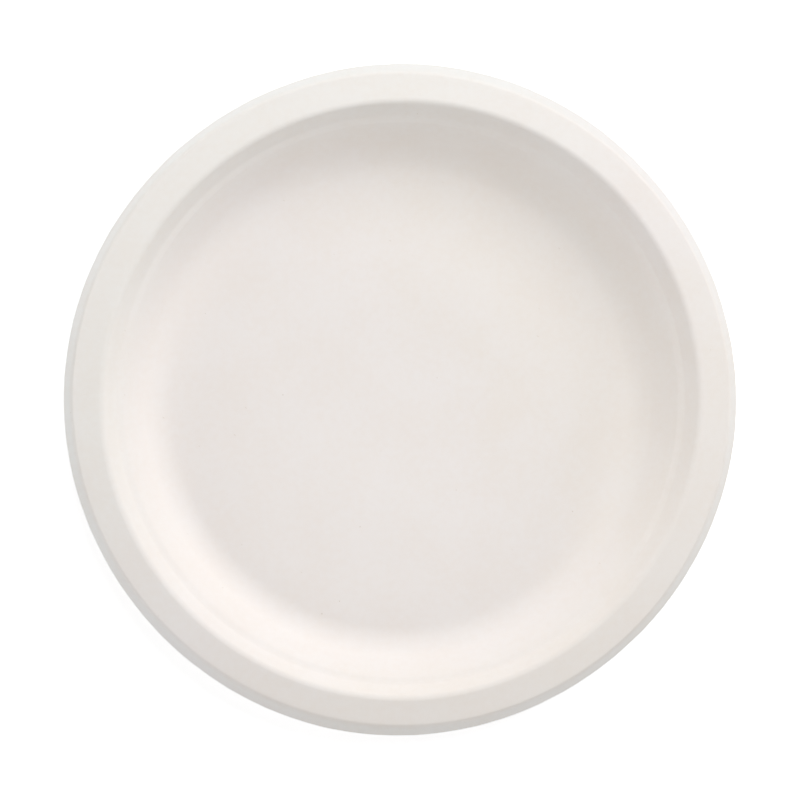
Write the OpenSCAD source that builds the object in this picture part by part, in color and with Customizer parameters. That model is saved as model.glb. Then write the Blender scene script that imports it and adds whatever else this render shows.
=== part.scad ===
// Round plate pressed from white cane fibre pulp, in one piece and one wall thickness.
// Millimetres, +Z up. The origin lies on the moulding axis, in the plane the plate rests on.

/* [Plate] */
// Diameter across the cut edge
plate_d = 229; // [190:1:280]
// Height from the resting plane to the crest of the rim
plate_h = 19.5; // [15:0.5:25]
// Thickness of the pressed pulp
wall = 0.7; // [0.5:0.05:1]

/* [Base] */
// Rise of the middle of the base above its resting ring
crown_h = 1.2; // [0:0.1:2]
// Radius of the level middle of the crown
crown_flat_r = 28; // [20:1:45]
// Width of the flat ring that the plate rests on
foot_w = 5; // [3:0.5:10]
// Radius of the bend between base and wall, in the middle of the pulp
base_bend = 13; // [8:0.5:17]

/* [Side wall] */
// Slope of the wall above the horizontal
wall_angle = 49; // [38:1:54]
// Slope of the stacking ledge above the horizontal
ledge_angle = 36; // [20:1:37]
// Width of the stacking ledge, corner to corner
ledge_w = 2.2; // [1.8:0.1:3]
// Distance from the crest's corner in to the middle of the ledge
ledge_inset = 5.7; // [4.5:0.1:8]
// Radius of the two bends at the ledge
ledge_bend = 3; // [1.5:0.1:4]

/* [Rim] */
// Width of the rim band, from the crest's corner to the shoulder
rim_w = 9.2; // [6:0.1:14]
// Slope of the rim band, falling outwards
rim_angle = 18; // [8:1:22]
// Radius of the bend over the crest
crest_bend = 2; // [1:0.1:3]

/* [Lip] */
// Width of the turned-down skirt below the shoulder
skirt_w = 0.95; // [0.6:0.05:1.4]
// Slope of the skirt, falling outwards
skirt_angle = 57; // [50:1:66]
// Width of the flange between the skirt and the cut edge
flange_w = 2.8; // [1.5:0.1:4]
// Slope of the flange, falling outwards
flange_angle = 44; // [25:1:48]
// Radius of the bend at the shoulder
shoulder_bend = 1.4; // [0.8:0.1:1.8]
// Radius of the bend between skirt and flange
flange_bend = 1.2; // [0.8:0.1:1.8]

/* [Hidden] */
$fn = 180;
// Degrees of bend for each step of an arc
arc_step = 5;
// Steps down the slope of the crown
crown_steps = 10;
pulp_white = [0.92, 0.9, 0.885];

// Corners of the centreline, worked out from the cut edge inwards
r_cut = plate_d / 2;
r_skirt = r_cut - flange_w;
r_shoulder = r_skirt - skirt_w;
r_crest = r_shoulder - rim_w;
// The bend takes the corner's peak off, so the corner lies that much above the crest
crest_peak = crest_bend * (cos((wall_angle - rim_angle) / 2) / cos((wall_angle + rim_angle) / 2) - 1);
z_crest = plate_h - wall / 2 + crest_peak;
z_shoulder = z_crest - rim_w * tan(rim_angle);
z_skirt = z_shoulder - skirt_w * tan(skirt_angle);
z_cut = z_skirt - flange_w * tan(flange_angle);
r_ledge_out = r_crest - ledge_inset + ledge_w / 2;
z_ledge_out = z_crest - (r_crest - r_ledge_out) * tan(wall_angle);
r_ledge_in = r_ledge_out - ledge_w;
z_ledge_in = z_ledge_out - ledge_w * tan(ledge_angle);
z_base = wall / 2;
r_base = r_ledge_in - (z_ledge_in - z_base) / tan(wall_angle);
r_foot_out = r_base - base_bend * tan(wall_angle / 2);
r_foot_in = r_foot_out - foot_w;

foot_start = [r_foot_in, z_base];
cut_end = [r_cut, z_cut];
// The bends from the base out to the flange: the corner's place [r, z] and its radius
corners = [
    [[r_base, z_base], base_bend],
    [[r_ledge_in, z_ledge_in], ledge_bend],
    [[r_ledge_out, z_ledge_out], ledge_bend],
    [[r_crest, z_crest], crest_bend],
    [[r_shoulder, z_shoulder], shoulder_bend],
    [[r_skirt, z_skirt], flange_bend]
];
path = concat([foot_start], [for (corner = corners) corner[0]], [cut_end]);

function unit(v) = v / norm(v);
function left_of(v) = [-v.y, v.x];
function turned(v, angle) = [v.x * cos(angle) - v.y * sin(angle), v.x * sin(angle) + v.y * cos(angle)];

// Stations [place, way to the upper face] round the bend at corner b, between a and c
function bend(a, b, c, radius) =
    let (
        way_in = unit(b - a),
        way_out = unit(c - b),
        sweep = atan2(way_in.x * way_out.y - way_in.y * way_out.x, way_in * way_out),
        toward = left_of(way_in) * sign(sweep),
        centre = b - way_in * radius * tan(abs(sweep) / 2) + toward * radius,
        steps = max(2, ceil(abs(sweep) / arc_step))
    )
    [for (i = [0 : steps])
        let (angle = sweep * i / steps)
        [centre - turned(toward, angle) * radius, turned(left_of(way_in), angle)]];

// Stations down the slope of the crown, a half wave that is level at both ends
crown_run = r_foot_in - crown_flat_r;
crown = [for (i = [0 : crown_steps])
    let (
        turn = 180 * i / crown_steps,
        slope = crown_h * PI / (2 * crown_run) * sin(turn)
    )
    [[crown_flat_r + crown_run * i / crown_steps, z_base + crown_h * (1 + cos(turn)) / 2],
        unit([slope, 1])]];

bends = [for (i = [0 : len(corners) - 1])
    for (station = bend(path[i], path[i + 1], path[i + 2], corners[i][1]))
        station];

// The middle of the pulp from the axis to the cut, where the edge stands upright
stations = concat(
    [[[0, z_base + crown_h], [0, 1]]],
    crown,
    bends,
    [[cut_end, [0, 1 / cos(flange_angle)]]]
);

// The section of the plate: half the wall above and half below every station
module section() {
    upper = [for (s = stations) s[0] + s[1] * wall / 2];
    lower = [for (i = [len(stations) - 1 : -1 : 0]) stations[i][0] - stations[i][1] * wall / 2];
    polygon(concat(upper, lower));
}

module plate() {
    color(pulp_white)
        rotate_extrude()
            section();
}

plate();
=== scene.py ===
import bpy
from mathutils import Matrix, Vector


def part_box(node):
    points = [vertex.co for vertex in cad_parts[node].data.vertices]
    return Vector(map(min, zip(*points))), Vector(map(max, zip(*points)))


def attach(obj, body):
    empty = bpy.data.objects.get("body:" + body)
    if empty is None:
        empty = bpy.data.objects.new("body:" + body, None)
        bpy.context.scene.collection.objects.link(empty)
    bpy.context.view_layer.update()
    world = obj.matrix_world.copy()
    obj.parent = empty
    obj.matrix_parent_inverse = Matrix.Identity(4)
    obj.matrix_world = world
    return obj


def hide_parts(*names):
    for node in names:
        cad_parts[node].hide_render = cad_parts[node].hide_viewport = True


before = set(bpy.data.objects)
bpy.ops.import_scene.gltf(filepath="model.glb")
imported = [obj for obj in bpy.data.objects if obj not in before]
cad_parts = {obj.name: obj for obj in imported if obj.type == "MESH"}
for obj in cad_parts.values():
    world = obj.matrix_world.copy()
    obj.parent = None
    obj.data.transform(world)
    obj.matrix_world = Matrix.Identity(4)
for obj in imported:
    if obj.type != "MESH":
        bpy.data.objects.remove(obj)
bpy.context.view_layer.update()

import math
import bpy
import numpy as np
from mathutils import Matrix, Vector

MM = 0.001

# Section of the plate. Sizes are in millimetres and degrees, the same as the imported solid's.
# The diameter and the height come from the solid itself.

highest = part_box("plate")[1]
PLATE_R = highest.x / MM
PLATE_H = highest.z / MM
WALL = 0.7
CROWN_H, CROWN_FLAT_R, FOOT_W = 1.2, 28.0, 5.0
WALL_ANGLE, LEDGE_ANGLE, RIM_ANGLE, SKIRT_ANGLE, FLANGE_ANGLE = 49.0, 36.0, 18.0, 57.0, 44.0
LEDGE_W, LEDGE_INSET, RIM_W, SKIRT_W, FLANGE_W = 2.2, 5.7, 9.2, 0.95, 2.8
BASE_BEND, LEDGE_BEND, CREST_BEND, SHOULDER_BEND, FLANGE_BEND = 13.0, 3.0, 2.0, 1.4, 1.2

# What the press leaves: thickness of the pulp at some radii. The underside keeps its
# place, so the upper face is where the thickness shows. The die pinches the cut edge.
THICK_AT = (0.0, 70.0, 84.0, 97.0, 101.6, 111.0, 113.2, 114.1, 114.5)
THICK = (0.72, 0.72, 0.66, 0.65, 0.70, 0.71, 0.68, 0.60, 0.52)
CUT_ROUND = 0.09  # radius of the two corners of the cut edge
FLANGE_FROM = (110.5, 112.5)  # radii over which the flange's painted cool light comes in

ARC_STEP = 5.0  # degrees of bend between stations
CUT_STEP = 30.0  # the same round the two corners of the cut
CROWN_STEPS = 12  # down the slope of the crown
# Out to each radius, the widest gap between stations
SPACING = ((70.0, 6.0), (112.5, 1.6), (math.inf, 0.4))


def tan(degrees):
    return math.tan(math.radians(degrees))


def smooth(x, start, end):
    t = np.clip((x - start) / (end - start), 0, 1)
    return t * t * (3 - 2 * t)


def corner_points():
    """Corners of the middle of the pulp, from the base out to the cut edge, and the bend at each."""
    r_skirt = PLATE_R - FLANGE_W
    r_shoulder = r_skirt - SKIRT_W
    r_crest = r_shoulder - RIM_W
    # The bend takes the corner's peak off, so the corner lies that much above the crest
    half_sum = math.radians((WALL_ANGLE + RIM_ANGLE) / 2)
    half_gap = math.radians((WALL_ANGLE - RIM_ANGLE) / 2)
    peak = CREST_BEND * (math.cos(half_gap) / math.cos(half_sum) - 1)
    z_crest = PLATE_H - WALL / 2 + peak
    z_shoulder = z_crest - RIM_W * tan(RIM_ANGLE)
    z_skirt = z_shoulder - SKIRT_W * tan(SKIRT_ANGLE)
    z_cut = z_skirt - FLANGE_W * tan(FLANGE_ANGLE)
    r_ledge_out = r_crest - LEDGE_INSET + LEDGE_W / 2
    z_ledge_out = z_crest - (r_crest - r_ledge_out) * tan(WALL_ANGLE)
    r_ledge_in = r_ledge_out - LEDGE_W
    z_ledge_in = z_ledge_out - LEDGE_W * tan(LEDGE_ANGLE)
    r_base = r_ledge_in - (z_ledge_in - WALL / 2) / tan(WALL_ANGLE)
    return [
        ((r_base, WALL / 2), BASE_BEND),
        ((r_ledge_in, z_ledge_in), LEDGE_BEND),
        ((r_ledge_out, z_ledge_out), LEDGE_BEND),
        ((r_crest, z_crest), CREST_BEND),
        ((r_shoulder, z_shoulder), SHOULDER_BEND),
        ((r_skirt, z_skirt), FLANGE_BEND),
    ], (PLATE_R, z_cut)


def rim_rings():
    """Radii of the ledge's middle, the crest, the shoulder and the cut."""
    corners, cut = corner_points()
    radii = [place[0] for place, _ in corners]
    return (radii[1] + radii[2]) / 2, radii[3], radii[4], cut[0]


def bend(before, corner, after, radius, arc_step=ARC_STEP):
    """Stations (r, z, slope) round one corner."""
    a, b, c = (np.array(p, float) for p in (before, corner, after))
    way_in, way_out = (b - a) / np.linalg.norm(b - a), (c - b) / np.linalg.norm(c - b)
    start, end = math.atan2(way_in[1], way_in[0]), math.atan2(way_out[1], way_out[0])
    sweep = (end - start + math.pi) % (2 * math.pi) - math.pi
    side = math.copysign(1, sweep)
    left = np.array([-way_in[1], way_in[0]])
    centre = b - way_in * radius * math.tan(abs(sweep) / 2) + side * radius * left
    steps = max(2, math.ceil(math.degrees(abs(sweep)) / arc_step))
    found = []
    for i in range(steps + 1):
        slope = start + sweep * i / steps
        out = side * radius * np.array([math.sin(slope), -math.cos(slope)])
        found.append((centre[0] + out[0], centre[1] + out[1], slope))
    return found


def centreline():
    """Stations (r, z, slope) of the middle of the pulp, from the axis to the cut."""
    corners, cut = corner_points()
    foot_out = corners[0][0][0] - BASE_BEND * tan(WALL_ANGLE / 2)
    foot_in = foot_out - FOOT_W
    run = foot_in - CROWN_FLAT_R
    made = [(0.0, WALL / 2 + CROWN_H, 0.0)]
    for i in range(CROWN_STEPS + 1):
        turn = math.pi * i / CROWN_STEPS
        r = CROWN_FLAT_R + run * i / CROWN_STEPS
        fall = -CROWN_H * math.pi / (2 * run) * math.sin(turn)
        made.append((r, WALL / 2 + CROWN_H * (1 + math.cos(turn)) / 2, math.atan(fall)))
    places = [(foot_in, WALL / 2)] + [c[0] for c in corners] + [cut]
    for i, (place, radius) in enumerate(corners):
        made += bend(places[i], place, places[i + 2], radius)
    made.append((cut[0], cut[1], math.radians(-FLANGE_ANGLE)))
    full = made[:1]
    for here in made[1:]:
        last = full[-1]
        reach = math.hypot(here[0] - last[0], here[1] - last[1])
        pieces = max(1, math.ceil(reach / next(gap for out_to, gap in SPACING if here[0] < out_to)))
        for k in range(1, pieces + 1):
            t = k / pieces
            full.append(tuple(last[j] + (here[j] - last[j]) * t for j in range(3)))
    return full


def section():
    """The closed section, from the axis over the food side, the cut and the underside back to the axis.
    A row holds r, z, the distance along the face from the axis, the depth into the pulp, and the shares
    of underside, cut and flange."""
    line = centreline()
    upper, lower, along = [], [], [0.0]
    for i, (r, z, slope) in enumerate(line):
        if i:
            along.append(along[-1] + math.hypot(r - line[i - 1][0], z - line[i - 1][1]))
        up = np.interp(r, THICK_AT, THICK) - WALL / 2
        way = (0.0, 1 / math.cos(slope)) if i == len(line) - 1 else (-math.sin(slope), math.cos(slope))
        upper.append((r + way[0] * up, z + way[1] * up))
        lower.append((r - way[0] * WALL / 2, z - way[1] * WALL / 2))
    top, bottom = upper[-1], lower[-1]
    flange = [float(smooth(station[0], *FLANGE_FROM)) for station in line]
    rows = [(p[0], p[1], s, 0.0, 0.0, 0.0, f) for p, s, f in zip(upper[:-1], along, flange)]
    reach, thick = along[-1], top[1] - bottom[1]
    for corner, before, after in ((top, upper[-2], bottom), (bottom, top, lower[-2])):
        for r, z, slope in bend(before, corner, after, CUT_ROUND, CUT_STEP):
            depth = (top[1] - z) / thick
            rows.append((r, z, reach, depth * thick, depth, 1.0, 1.0))
    below = [(p[0], p[1], s, thick, 1.0, 0.0, f) for p, s, f in zip(lower[:-1], along, flange)]
    return np.array(rows + below[::-1])


# Small departures of a real pressing, in millimetres.
# Each wave is (times round the plate, height, phase in degrees).

RIM_RISE = ((2, 0.20, 25), (3, 0.12, 140), (4, 0.07, 60), (6, 0.03, 10))
# How far each ring of the rim stands out from its true circle
SPREAD_FROM = 80.0  # radius inside which the circles are true
LEDGE_SPREAD = ((0, 0.15, 0), (1, 0.20, 90))
CREST_SPREAD = ((0, -0.15, 0), (1, 0.10, 40), (2, 0.30, -50), (3, 0.10, 160))
SHOULDER_SPREAD = ((0, 0.20, 0), (2, 0.45, 15), (4, 0.10, 0))
CUT_SPREAD = ((2, 0.20, -60), (4, 0.20, 40))
# What the trimming die leaves on the cut itself
CUT_WANDER = (
    (11, 0.020, 40), (23, 0.018, 190), (41, 0.015, 300),
    (67, 0.014, 80), (97, 0.013, 230), (149, 0.012, 15),
)
# The base is not quite level: (length, height, heading and phase in degrees)
BASE_WAVES = (
    (52.0, 0.030, 15, 80), (38.0, 0.022, 80, 10), (31.0, 0.016, 140, 200), (23.0, 0.010, 50, 120),
)
BASE_WAVES_END = (55.0, 71.0)  # radii over which they die out


def waves(theta, parts):
    return sum(height * np.cos(times * theta + math.radians(phase)) for times, height, phase in parts)


def departures(r, theta, cut):
    """How far a point moves outwards and up, in millimetres."""
    spreads = (LEDGE_SPREAD, CREST_SPREAD, SHOULDER_SPREAD, CUT_SPREAD)
    rings = (SPREAD_FROM,) + rim_rings()
    place = np.interp(r, rings, range(len(rings)))
    out = cut * waves(theta, CUT_WANDER)
    for i, spread in enumerate(spreads, 1):
        out = out + waves(theta, spread) * np.clip(1 - np.abs(place - i), 0, 1)
    up = smooth(r, SPREAD_FROM, PLATE_R) * waves(theta, RIM_RISE)
    x, y = r * np.cos(theta), r * np.sin(theta)
    middle = 1 - smooth(r, *BASE_WAVES_END)
    for length, height, heading, phase in BASE_WAVES:
        h = math.radians(heading)
        turns = (x * math.cos(h) + y * math.sin(h)) / length
        up = up + middle * height * np.cos(2 * math.pi * turns + math.radians(phase))
    return out, up


# Mesh

SEGMENTS = 640  # points round the rim
HALVED_INSIDE = (95.0, 35.0, 14.0)  # radii inside which they are halved
ON_AXIS = 1e-6  # a radius below this is the axis, where one point stands for the ring


def ring_count(r):
    """How many points stand round a ring of this radius."""
    return SEGMENTS // 2 ** sum(r < inside for inside in HALVED_INSIDE)


def revolve(rows):
    """Vertices and faces of the section turned round the axis, with its values at every vertex."""
    points, values, rings = [], [], []
    for r, z, along, depth, under, cut, flange in rows:
        n = 1 if r < ON_AXIS else ring_count(r)
        theta = np.arange(n) * 2 * math.pi / n
        out, up = departures(np.full(n, r), theta, cut)
        rings.append(np.arange(n) + sum(len(p) for p in points))
        points.append(np.stack([(r + out) * np.cos(theta), (r + out) * np.sin(theta), z + up], 1))
        sheet = [along * np.cos(theta), along * np.sin(theta), np.full(n, -depth)]
        values.append(np.stack(sheet + [np.full(n, share) for share in (under, cut, flange)], 1))
    faces = []
    for a, b in zip(rings, rings[1:]):
        faces += stitch(a, b)
    return np.concatenate(points), np.concatenate(values), faces


def stitch(a, b):
    """Faces between two neighbouring rings, with their front on the left of the way along the section."""
    if len(a) > len(b):
        return [face[::-1] for face in stitch(b, a)]
    n, m = len(a), len(b)
    if n == m:
        return [(a[i], b[i], b[(i + 1) % n], a[(i + 1) % n]) for i in range(n)]
    if n == 1:
        return [(a[0], b[i], b[(i + 1) % m]) for i in range(m)]
    found = []
    for i in range(n):
        j, k = (i + 1) % n, (2 * i + 2) % m
        found += [(a[i], b[2 * i], b[2 * i + 1]), (a[i], b[2 * i + 1], a[j]), (a[j], b[2 * i + 1], b[k])]
    return found


def plate_object():
    points, values, faces = revolve(section())
    mesh = bpy.data.meshes.new("plate_pulp")
    mesh.from_pydata((points * MM).tolist(), [], [[int(i) for i in face] for face in faces])
    mesh.polygons.foreach_set("use_smooth", [True] * len(mesh.polygons))
    sheet = mesh.attributes.new("sheet", "FLOAT_VECTOR", "POINT")
    sheet.data.foreach_set("vector", (values[:, :3] * MM).astype(np.float32).ravel())
    for name, column in (("underside", 3), ("cut", 4), ("flange", 5)):
        share = mesh.attributes.new(name, "FLOAT", "POINT")
        share.data.foreach_set("value", values[:, column].astype(np.float32))
    mesh.validate()
    mesh.update()
    piece = bpy.data.objects.new("plate_pulp", mesh)
    bpy.context.scene.collection.objects.link(piece)
    return piece


# Materials

class Nodes:
    """A short way to write a node tree: values that are nodes' outputs are linked, the rest are set."""

    def __init__(self, tree):
        self.tree = tree
        tree.nodes.clear()

    def add(self, kind, settings=(), **inputs):
        made = self.tree.nodes.new(kind)
        for name, value in dict(settings).items():
            setattr(made, name, value)
        for name, value in inputs.items():
            key = int(name[1:]) if name[0] == "_" and name[1:].isdigit() else name.replace("_", " ")
            socket = made.inputs[key]
            if isinstance(value, bpy.types.NodeSocket):
                self.tree.links.new(value, socket)
            else:
                socket.default_value = value
        return made

    def math(self, operation, a, b=0.0, c=0.0, clamp=False):
        settings = {"operation": operation, "use_clamp": clamp}
        return self.add("ShaderNodeMath", settings, _0=a, _1=b, _2=c).outputs[0]

    def times(self, a, b):
        return self.math("MULTIPLY", a, b)

    def total(self, *parts):
        result = parts[0]
        for part in parts[1:]:
            result = self.math("ADD", result, part)
        return result

    def span(self, value, low, high, to_low=0.0, to_high=1.0):
        settings = {"interpolation_type": "SMOOTHSTEP"}
        made = self.add("ShaderNodeMapRange", settings, Value=value, From_Min=low, From_Max=high,
                        To_Min=to_low, To_Max=to_high)
        return made.outputs["Result"]

    def mix(self, share, a, b, blend="MIX"):
        settings = {"data_type": "RGBA", "blend_type": blend}
        return self.add("ShaderNodeMix", settings, _0=share, _6=a, _7=b).outputs[2]

    def tinted(self, share, colour, factor):
        return self.mix(share, colour, factor, "MULTIPLY")

    def value_of(self, attribute, output="Fac"):
        return self.add("ShaderNodeAttribute", {"attribute_name": attribute}).outputs[output]

    def noise(self, vector, scale, detail, roughness):
        made = self.add("ShaderNodeTexNoise", {"noise_dimensions": "3D"}, Vector=vector, Scale=scale,
                        Detail=detail, Roughness=roughness)
        return made.outputs["Fac"]

    def turned(self, vector, degrees, scale, shift=(0.0, 0.0, 0.0)):
        """The vector turned about Z and shifted, then stretched."""
        spun = self.add("ShaderNodeMapping", {"vector_type": "POINT"}, Vector=vector,
                        Rotation=(0.0, 0.0, math.radians(degrees)), Location=shift)
        return self.add("ShaderNodeMapping", {"vector_type": "POINT"}, Vector=spun.outputs[0],
                        Scale=scale).outputs[0]


# Colours, linear
WHITE = (0.898, 0.853, 0.827, 1.0)  # the pulp
WARM = (0.884, 0.824, 0.782, 1.0)  # where the fibre lies thicker
YELLOWER = (0.993, 0.990, 0.964, 1.0)  # factor on them towards one side of the bowl and of the rim
GREENER = (0.998, 1.021, 1.005, 1.0)  # factor towards the other side of the rim
LIP_PAINTED_LIGHT = (1.000, 1.028, 1.050, 1.0)  # factor on the flange: painted light, a cooler and lighter tint for the cool light its steep slope gets
FIBRE = (0.93, 0.895, 0.875, 1.0)  # single fibres near the face
SPECK = (0.50, 0.40, 0.28, 1.0)  # bits of cane bark

# How far each colour comes through
FIBRE_SHARE, SPECK_SHARE, CUT_TONE_AND_SHADE_SHARE = 0.22, 0.45, 0.35

# Textures are laid out in the sheet as it was before pressing: metres, with scales per metre.
# Each noise is (scale, detail, roughness).
CLOUDS = (42.0, 3.0, 0.55)
MOTTLE = (420.0, 3.0, 0.6)
WORN = (90.0, 2.0, 0.5)
TORN = (3800.0, 3.0, 0.65)
STREAKS = (1.0, 1.0, 0.5)  # in the stretched sheet
CLOUD_PART, MOTTLE_PART = 0.5, 0.4  # weights of the two noises
WARM_SPAN = (0.31, 0.61)  # their sum, from all white to all warm
RIM_BEGINS = (0.088, 0.112)  # distance from the axis
BOWL_WAY, RIM_WAY = 35, -45  # degrees, towards the yellower side of each
# How far towards that side each tint begins and is full
BOWL_YELLOW, RIM_YELLOW, RIM_GREEN = (0.03, 0.09), (0.03, 0.11), (0.05, -0.05)
TINT_DRIFT = 0.06  # how far the clouds shift the tints
FIBRE_WAYS = (8, 52, 97, 143)  # degrees
FIBRE_STRETCH = (330.0, 4200.0, 4200.0)  # long and thin
FIBRE_SHIFT = (0.3, 0.17)  # from one way to the next, so that no two are alike
FIBRE_SHARPNESS = 9.0
GRAIN_SCALE, GRAIN_LEAST, GRAIN_SPREAD, GRAIN_EDGE = 150.0, 0.004, 0.036, 0.5
SLIVER_WAY, SLIVER_STRETCH = 33, (48.0, 210.0, 210.0)
SLIVER_REACH, SLIVER_EDGE, SLIVER_SHARE = 0.030, 0.6, 0.7
MESH_PITCH = 1.15 * MM  # of the forming screen's imprint
WORN_SPAN, WORN_TO = (0.35, 0.7), (0.45, 1.0)  # over that noise, the share of the imprint left

# Relief in tenths of a millimetre, on the food side and on the underside
RELIEF_UNIT = 0.1 * MM
FIBRE_RELIEF, SWELL_RELIEF = (0.07, 0.16), (0.35, 0.7)
IMPRINT_RELIEF, TORN_RELIEF = 0.22, 1.3

ROUGHNESS = (0.60, 0.84)  # food side, underside
MOTTLE_ROUGH, FIBRE_ROUGH, CUT_ROUGH = 0.10, -0.05, 0.08
SPECULAR = 0.35


def fibre_net(n, sheet):
    """Fibres lying every way in the face: 1 on a fibre, 0 beside it. One runs wherever the noise passes
    its middle."""
    net = 0.0
    for i, way in enumerate(FIBRE_WAYS):
        shift = (FIBRE_SHIFT[0] * i, FIBRE_SHIFT[1] * i, 0.0)
        streaks = n.noise(n.turned(sheet, way, FIBRE_STRETCH, shift), *STREAKS)
        off_ridge = n.math("ABSOLUTE", n.math("SUBTRACT", streaks, 0.5))
        strand = n.math("SUBTRACT", 1.0, n.times(off_ridge, FIBRE_SHARPNESS), clamp=True)
        net = n.math("MAXIMUM", net, strand)
    return net


def bark_specks(n, sheet):
    """Bits of bark: round grains and short slivers."""
    grains = n.add("ShaderNodeTexVoronoi", Vector=sheet, Scale=GRAIN_SCALE, Randomness=1.0)
    size = n.add("ShaderNodeSeparateColor", Color=grains.outputs["Color"]).outputs[0]
    reach = n.math("ADD", n.times(size, GRAIN_SPREAD), GRAIN_LEAST)
    grain = n.math("SUBTRACT", 1.0, n.math("DIVIDE", grains.outputs["Distance"], reach), clamp=True)
    stretched = n.turned(sheet, SLIVER_WAY, SLIVER_STRETCH)
    slivers = n.add("ShaderNodeTexVoronoi", Vector=stretched, Scale=1.0, Randomness=1.0)
    off_sliver = n.math("DIVIDE", slivers.outputs["Distance"], SLIVER_REACH)
    sliver = n.math("SUBTRACT", 1.0, off_sliver, clamp=True)
    faint = n.times(n.span(sliver, 0.0, SLIVER_EDGE), SLIVER_SHARE)
    return n.math("MAXIMUM", n.span(grain, 0.0, GRAIN_EDGE), faint)


def toward(n, x, y, degrees):
    """How far a place lies towards an azimuth."""
    way = math.radians(degrees)
    return n.total(n.times(x, math.cos(way)), n.times(y, math.sin(way)))


def pulp_material():
    material = bpy.data.materials.new("pulp")
    material.use_nodes = True
    n = Nodes(material.node_tree)
    sheet = n.value_of("sheet", "Vector")
    under, cut, flange = n.value_of("underside"), n.value_of("cut"), n.value_of("flange")
    apart = n.add("ShaderNodeSeparateXYZ", Vector=sheet)
    x, y = apart.outputs["X"], apart.outputs["Y"]

    # How evenly the fibres settled: wide clouds and close mottling
    clouds = n.noise(sheet, *CLOUDS)
    mottle = n.noise(sheet, *MOTTLE)
    fibres = fibre_net(n, sheet)

    thicker = n.total(n.times(clouds, CLOUD_PART), n.times(mottle, MOTTLE_PART))
    warm = n.span(thicker, *WARM_SPAN)
    from_axis = n.add("ShaderNodeVectorMath", {"operation": "LENGTH"}, _0=sheet).outputs["Value"]
    rim = n.span(from_axis, *RIM_BEGINS)
    drift = n.times(clouds, TINT_DRIFT)
    across_bowl, across_rim = (n.total(toward(n, x, y, way), drift) for way in (BOWL_WAY, RIM_WAY))
    bowl_yellow = n.times(n.math("SUBTRACT", 1.0, rim), n.span(across_bowl, *BOWL_YELLOW))
    colour = n.mix(warm, WHITE, WARM)
    rim_yellow = n.times(rim, n.span(across_rim, *RIM_YELLOW))
    colour = n.tinted(n.total(bowl_yellow, rim_yellow), colour, YELLOWER)
    colour = n.tinted(n.times(rim, n.span(across_rim, *RIM_GREEN)), colour, GREENER)
    # painted light: the flange is tinted cooler and lighter for the cool light its steep slope gets
    colour = n.tinted(flange, colour, LIP_PAINTED_LIGHT)
    colour = n.mix(n.times(fibres, FIBRE_SHARE), colour, FIBRE)
    colour = n.mix(n.times(bark_specks(n, sheet), SPECK_SHARE), colour, SPECK)
    # the cut edge is mixed towards the warm tone: partly the exposed fibre, partly painted shade for the
    # small shadows of its rough face
    colour = n.mix(n.times(cut, CUT_TONE_AND_SHADE_SHARE), colour, WARM)

    turn = 2 * math.pi / MESH_PITCH
    weave = n.times(n.math("SINE", n.times(x, turn)), n.math("SINE", n.times(y, turn)))
    worn = n.span(n.noise(sheet, *WORN), *WORN_SPAN, *WORN_TO)
    imprint = n.times(n.times(weave, worn), n.times(under, IMPRINT_RELIEF))
    strands = n.times(fibres, n.span(under, 0.0, 1.0, *FIBRE_RELIEF))
    swell = n.times(mottle, n.span(under, 0.0, 1.0, *SWELL_RELIEF))
    torn = n.times(n.times(n.noise(sheet, *TORN), cut), TORN_RELIEF)
    height = n.total(imprint, strands, swell, torn)
    bump = n.add("ShaderNodeBump", Strength=1.0, Distance=RELIEF_UNIT, Height=height)

    uneven = (n.times(mottle, MOTTLE_ROUGH), n.times(fibres, FIBRE_ROUGH), n.times(cut, CUT_ROUGH))
    rough = n.total(n.span(under, 0.0, 1.0, *ROUGHNESS), *uneven)
    shader = n.add("ShaderNodeBsdfPrincipled", Base_Color=colour, Roughness=rough,
                   Normal=bump.outputs[0])
    shader.inputs["Specular IOR Level"].default_value = SPECULAR
    n.add("ShaderNodeOutputMaterial", Surface=shader.outputs[0])
    return material


# Studio

FLOOR_LEVEL = 0.76  # share of light the floor gives back to the plate
FLOOR_LIFT = 0.70  # what the camera sees of it beside that, so that it reads white
FLOOR_R, FLOOR_SIDES = 4.0, 96  # metres, corners
FLOOR_GAP = 0.02 * MM  # under the plate
WORLD_LEVEL = 0.06  # what the plate gets from all round; the camera sees 1
PLAIN_WHITE = (1.0, 1.0, 1.0, 1.0)

# name, azimuth and elevation in degrees, width and height over the distance, level (1 is white)
SOFTBOXES = (
    ("key", 65, 44, 0.80, 0.85, 4.45),
    ("fill", 248, 30.5, 2.10, 0.60, 1.43),
    ("side_left", 167, 15, 0.70, 0.50, 2.30),
    ("side_right", -15, 19.5, 1.30, 0.30, 1.75),
)
SOFTBOX_REACH = 12.0  # metres from the plate, so far that the light is even across it


def seen(n):
    """1 for rays that the camera, a gloss or a clear body sends out."""
    path = n.add("ShaderNodeLightPath")
    camera_or_gloss = n.math("ADD", path.outputs["Is Camera Ray"], path.outputs["Is Glossy Ray"])
    return n.math("ADD", camera_or_gloss, path.outputs["Is Transmission Ray"], clamp=True)


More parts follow.
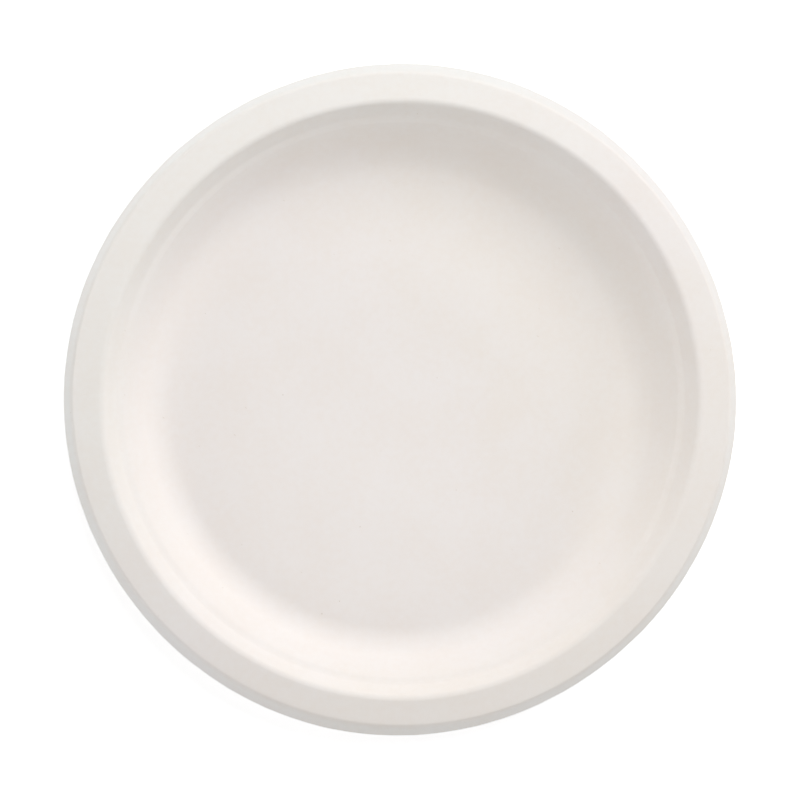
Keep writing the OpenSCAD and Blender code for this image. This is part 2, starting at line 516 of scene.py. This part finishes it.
def floor_object():
    mesh = bpy.data.meshes.new("studio_floor")
    turns = np.linspace(0, 2 * math.pi, FLOOR_SIDES, endpoint=False)
    ring = [(FLOOR_R * math.cos(a), FLOOR_R * math.sin(a), -FLOOR_GAP) for a in turns]
    mesh.from_pydata(ring, [], [list(range(FLOOR_SIDES))])
    material = bpy.data.materials.new("floor_white")
    material.use_nodes = True
    n = Nodes(material.node_tree)
    paper = n.add("ShaderNodeBsdfDiffuse", Color=(FLOOR_LEVEL, FLOOR_LEVEL, FLOOR_LEVEL, 1.0))
    glow = n.times(seen(n), FLOOR_LIFT)
    lift = n.add("ShaderNodeEmission", Color=PLAIN_WHITE, Strength=glow)
    both = n.add("ShaderNodeAddShader", _0=paper.outputs[0], _1=lift.outputs[0])
    n.add("ShaderNodeOutputMaterial", Surface=both.outputs[0])
    mesh.materials.append(material)
    floor = bpy.data.objects.new("studio_floor", mesh)
    bpy.context.scene.collection.objects.link(floor)


def world_light():
    world = bpy.data.worlds.new("studio")
    bpy.context.scene.world = world
    world.use_nodes = True
    n = Nodes(world.node_tree)
    strength = n.math("ADD", n.times(seen(n), 1.0 - WORLD_LEVEL), WORLD_LEVEL)
    back = n.add("ShaderNodeBackground", Color=PLAIN_WHITE, Strength=strength)
    n.add("ShaderNodeOutputWorld", Surface=back.outputs[0])


def direction(azimuth, elevation):
    a, e = math.radians(azimuth), math.radians(elevation)
    return Vector((math.cos(e) * math.cos(a), math.cos(e) * math.sin(a), math.sin(e)))


def softbox(name, azimuth, elevation, width, height, level):
    light = bpy.data.lights.new(name, "AREA")
    light.shape = "RECTANGLE"
    light.size, light.size_y = width * SOFTBOX_REACH, height * SOFTBOX_REACH
    light.energy = level * light.size * light.size_y * math.pi
    lamp = bpy.data.objects.new(name, light)
    lamp.location = direction(azimuth, elevation) * SOFTBOX_REACH
    lamp.rotation_euler = lamp.location.to_track_quat("Z", "Y").to_euler()
    lamp.visible_camera = False
    bpy.context.scene.collection.objects.link(lamp)


# Camera: nearly straight above, with the plate as large as in the photograph

CAMERA_REACH = 1.29  # metres from the middle of the cut edge's plane
CAMERA_TILT = 2.8  # degrees from straight above
CAMERA_SIDE = 195.0  # azimuth it leans towards, in degrees
CAMERA_CLIP = (0.05, 20.0)  # metres
SENSOR = 36.0  # millimetres
FRAME_PX = 800
OUTLINE_PX = 335.8  # radius of the cut edge
PLATE_MIDDLE_PX = 399.6  # down from the top edge


def camera():
    rows = section()
    cut_z = rows[np.argmax(rows[:, 0]), 1] * MM
    px_per_m = OUTLINE_PX / (PLATE_R * MM)
    data = bpy.data.cameras.new("camera")
    data.sensor_width = SENSOR
    data.lens = px_per_m * CAMERA_REACH / FRAME_PX * SENSOR
    data.clip_start, data.clip_end = CAMERA_CLIP
    back = direction(CAMERA_SIDE, 90.0 - CAMERA_TILT)
    right = Vector((0.0, 1.0, 0.0)).cross(back).normalized()
    # Seen aslant, the outline's middle drifts from the plate's own towards the near side
    drift = (PLATE_R * MM) ** 2 * math.sin(math.radians(CAMERA_TILT)) / CAMERA_REACH
    offset = Vector((0.0, (PLATE_MIDDLE_PX - FRAME_PX / 2) / px_per_m, cut_z))
    middle = offset + direction(CAMERA_SIDE, 0.0) * drift
    made = bpy.data.objects.new("camera", data)
    made.location = middle + back * CAMERA_REACH
    made.rotation_euler = Matrix((right, back.cross(right), back)).transposed().to_euler()
    bpy.context.scene.collection.objects.link(made)
    bpy.context.scene.camera = made


plate = plate_object()
plate.data.materials.append(pulp_material())
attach(plate, "root")
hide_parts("plate")
floor_object()
world_light()
for box in SOFTBOXES:
    softbox(*box)
camera()
bpy.context.scene.view_settings.view_transform = "Standard"
